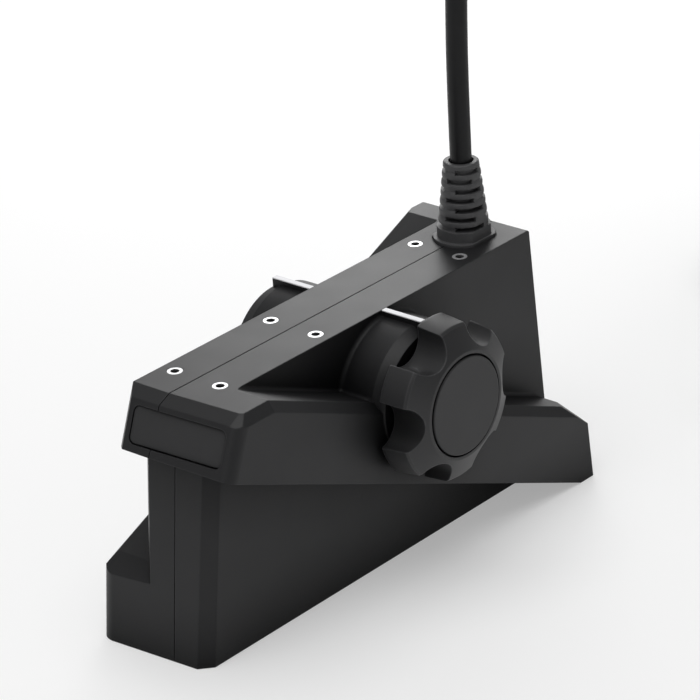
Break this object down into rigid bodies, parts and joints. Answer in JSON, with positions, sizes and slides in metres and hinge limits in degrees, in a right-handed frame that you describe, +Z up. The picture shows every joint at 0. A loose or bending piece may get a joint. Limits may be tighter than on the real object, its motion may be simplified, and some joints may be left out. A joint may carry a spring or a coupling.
{
  "type": "sonar transducer",
  "caption": "Underwater sonar transducer with two tilted side wings, a narrow keel, side clamp bosses with a lobed knob, threaded top inserts and a long sleeved cable with a plug.",
  "frame": {"origin": "middle of the keel's sole, in the seam between the two housing halves", "axes": "+X along the housing from the near head towards the cable end, +Z up from the sole, -Y towards the side with the clamp knob"},
  "size_m": [0.528, 0.0936, 0.2644],
  "materials": {
    "housing": "fine moulded texture",
    "bright_metal": "turned, bright",
    "brass": "turned",
    "white_mark": "filled mark",
    "lens": "cast, smooth",
    "element": "fired ceramic",
    "backing": "cast",
    "board": "lacquered",
    "boot_rubber": "satin moulded",
    "cable_jacket": "semi-gloss extruded",
    "knob": "fine moulded texture",
    "plug": "satin moulded",
    "tie": "satin strap"
  },
  "bodies": {
    "housing": {"housing_right": "housing", "housing_left": "housing", "end_plate": "housing", "top_insert_1": "bright_metal", "top_insert_2": "bright_metal", "top_insert_3": "bright_metal", "top_insert_4": "bright_metal", "top_insert_5": "bright_metal", "top_insert_6": "bright_metal", "pivot_insert_right": "brass", "index_mark_right": "white_mark", "acoustic_lens_right": "lens", "sonar_array_right": "element", "array_backing_right": "backing", "array_board_right": "board", "pivot_insert_left": "brass", "index_mark_left": "white_mark", "acoustic_lens_left": "lens", "sonar_array_left": "element", "array_backing_left": "backing", "array_board_left": "board", "signal_board": "board", "cable_gland": "brass", "gland_seal": "boot_rubber", "cable_clamp": "backing", "cable_boot": "boot_rubber", "cable_core": "cable_jacket", "cable_lead": "cable_jacket", "cable_hank": "cable_jacket", "cable_tail": "cable_jacket", "plug_body": "plug", "plug_pins": "brass", "plug_nut": "plug", "hank_tie_1": "tie", "hank_tie_2": "tie"},
    "washer": {"knob_washer": "bright_metal"},
    "knob": {"clamp_knob": "knob", "knob_cap": "knob", "knob_stud": "bright_metal"}
  },
  "joints": [
    {"name": "knob_travel", "type": "slide", "parent": "housing", "child": "washer", "axis": [0, -1, 0], "range_m": [0, 0.0075]},
    {"name": "knob_turn", "type": "hinge", "parent": "washer", "child": "knob", "pos_m": [0.0032, -0.0393, 0.0756], "axis": [0, -1, 0], "range_deg": [0, 2160]}
  ],
  "couplings": [
    {"joint": "knob_turn", "follows": "knob_travel", "rad_per_m": 5026.5}
  ]
}
